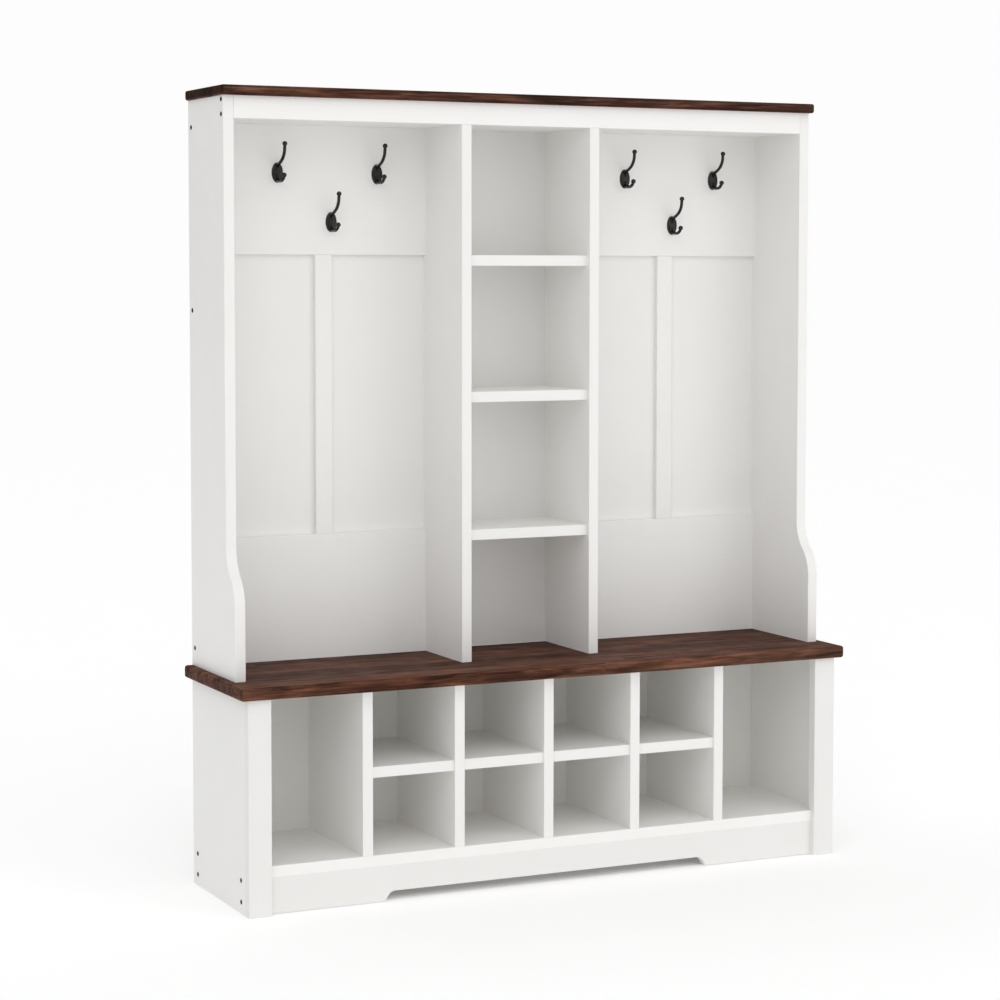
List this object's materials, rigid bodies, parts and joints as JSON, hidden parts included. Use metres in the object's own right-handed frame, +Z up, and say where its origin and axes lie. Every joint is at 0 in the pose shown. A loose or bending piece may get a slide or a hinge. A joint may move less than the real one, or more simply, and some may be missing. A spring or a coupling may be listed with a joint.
{
  "type": "hall tree",
  "caption": "Hall tree: a bench with shoe cubbies and tall end compartments, under an open hutch with a shelved centre column and coat hooks; white boards, dark wood tops.",
  "frame": {"origin": "on the floor at the middle of the overall footprint", "axes": "+Z up, +X to the right as you face the hall tree, the front towards -Y"},
  "size_m": [1.54, 0.392, 1.82],
  "materials": {
    "painted_board": "satin white paint over smooth board, edges slightly eased",
    "painted_panel": "satin white paint over thin fibreboard",
    "walnut_board": "dark walnut stain with reddish streaks under a satin clear coat",
    "black_iron": "matte black coated casting",
    "black_screw": "black oxide screw head"
  },
  "bodies": {
    "root": {"base_side_left": "painted_board", "base_side_right": "painted_board", "base_stile_left": "painted_board", "base_stile_right": "painted_board", "bottom_panel": "painted_board", "apron": "painted_board", "plinth_rail_front": "painted_board", "plinth_rail_rear": "painted_board", "base_divider_1": "painted_board", "base_divider_2": "painted_board", "base_divider_3": "painted_board", "base_divider_4": "painted_board", "base_divider_5": "painted_board", "cubby_shelf_1": "painted_board", "cubby_shelf_2": "painted_board", "cubby_shelf_3": "painted_board", "cubby_shelf_4": "painted_board", "hutch_side_left": "painted_board", "hutch_side_right": "painted_board", "hutch_upright_left": "painted_board", "hutch_upright_right": "painted_board", "centre_shelf_1": "painted_board", "centre_shelf_2": "painted_board", "centre_shelf_3": "painted_board", "top_rail_front": "painted_board", "ceiling_panel": "painted_board", "top_rail_rear": "painted_board", "hook_board_left": "painted_board", "hook_board_right": "painted_board", "lower_back_board_left": "painted_board", "lower_back_board_right": "painted_board", "back_batten_left": "painted_board", "back_batten_right": "painted_board", "base_back_panel": "painted_panel", "centre_back_panel": "painted_panel", "bay_panel_left": "painted_panel", "bay_panel_right": "painted_panel", "bench_top": "walnut_board", "top_board": "walnut_board", "coat_hook_1": "black_iron", "coat_hook_2": "black_iron", "coat_hook_3": "black_iron", "coat_hook_4": "black_iron", "coat_hook_5": "black_iron", "coat_hook_6": "black_iron", "hook_screw_1_upper": "black_screw", "hook_screw_1_lower": "black_screw", "hook_screw_2_upper": "black_screw", "hook_screw_2_lower": "black_screw", "hook_screw_3_upper": "black_screw", "hook_screw_3_lower": "black_screw", "hook_screw_4_upper": "black_screw", "hook_screw_4_lower": "black_screw", "hook_screw_5_upper": "black_screw", "hook_screw_5_lower": "black_screw", "hook_screw_6_upper": "black_screw", "hook_screw_6_lower": "black_screw"}
  },
  "joints": []
}
